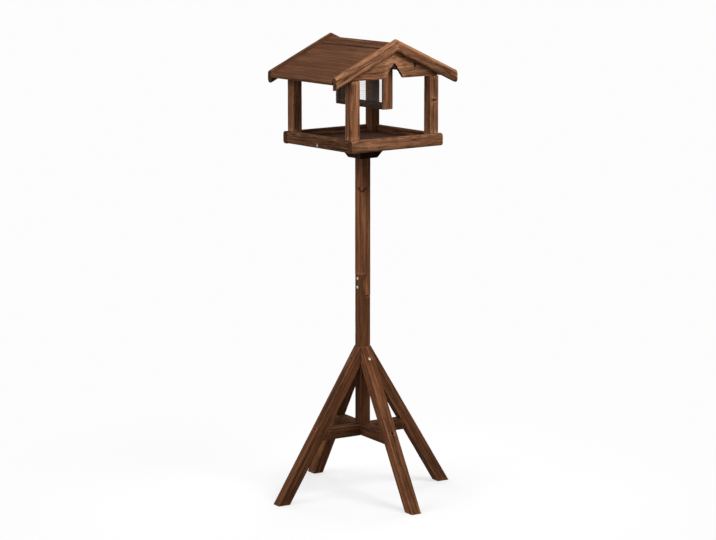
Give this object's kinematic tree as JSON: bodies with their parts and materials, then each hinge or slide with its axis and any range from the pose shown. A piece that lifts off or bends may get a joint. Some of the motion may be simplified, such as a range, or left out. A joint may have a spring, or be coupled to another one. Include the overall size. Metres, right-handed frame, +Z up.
{
  "type": "bird table",
  "caption": "Free-standing wooden bird table: open tray under a pitched roof with a mesh nut feeder in its ridge, on a pole with splayed legs and a crossed brace.",
  "frame": {"origin": "on the ground under the middle of the table, on the pole's axis", "axes": "+Z up along the pole, the roof's ridge along Y, the front gable towards -Y; the stand is turned 6 degrees clockwise, seen from above, under the head"},
  "size_m": [0.6844, 0.6844, 1.5643],
  "materials": {
    "stand_timber": "dark brown stained softwood, square stock with rounded edges",
    "head_timber": "dark brown stained softwood, planed boards with rounded edges",
    "galvanised_mesh": "galvanised welded wire",
    "plated_fastener": "zinc plated"
  },
  "bodies": {
    "table": {"bargeboard_back_left": "head_timber", "bargeboard_back_right": "head_timber", "bargeboard_front_left": "head_timber", "bargeboard_front_right": "head_timber", "brace_front_back": "stand_timber", "brace_left_right": "stand_timber", "brace_screw_back": "plated_fastener", "brace_screw_front": "plated_fastener", "brace_screw_left": "plated_fastener", "brace_screw_right": "plated_fastener", "feeder_base_rail": "head_timber", "feeder_end_back": "head_timber", "feeder_end_front": "head_timber", "feeder_net_left": "galvanised_mesh", "feeder_net_right": "galvanised_mesh", "floor_board_1": "head_timber", "floor_board_2": "head_timber", "floor_board_3": "head_timber", "floor_board_4": "head_timber", "floor_board_5": "head_timber", "gable_panel_back": "head_timber", "gable_panel_front": "head_timber", "leg_back": "stand_timber", "leg_front": "stand_timber", "leg_left": "stand_timber", "leg_right": "stand_timber", "leg_screw_back": "plated_fastener", "leg_screw_front": "plated_fastener", "leg_screw_left": "plated_fastener", "leg_screw_right": "plated_fastener", "pole_bolt_lower": "plated_fastener", "pole_bolt_upper": "plated_fastener", "pole_lower": "stand_timber", "pole_nut_lower": "plated_fastener", "pole_nut_upper": "plated_fastener", "pole_seat_block": "head_timber", "pole_upper": "stand_timber", "post_back_left": "head_timber", "post_back_right": "head_timber", "post_front_left": "head_timber", "post_front_right": "head_timber", "purlin_left": "head_timber", "purlin_right": "head_timber", "rail_back": "head_timber", "rail_front": "head_timber", "rail_left": "head_timber", "rail_right": "head_timber", "rail_screw_left": "plated_fastener", "rail_screw_right": "plated_fastener", "roof_board_left_eave": "head_timber", "roof_board_left_middle": "head_timber", "roof_board_left_upper": "head_timber", "roof_board_right_eave": "head_timber", "roof_board_right_middle": "head_timber", "roof_board_right_upper": "head_timber", "seat_screw_left": "plated_fastener", "seat_screw_right": "plated_fastener"},
    "ridge_lid": {"ridge_lid_strip_left": "head_timber", "ridge_lid_strip_right": "head_timber"}
  },
  "joints": [
    {"name": "ridge_lid_lift", "type": "slide", "parent": "table", "child": "ridge_lid", "axis": [0, 0, 1], "range_m": [0, 0.12]}
  ]
}
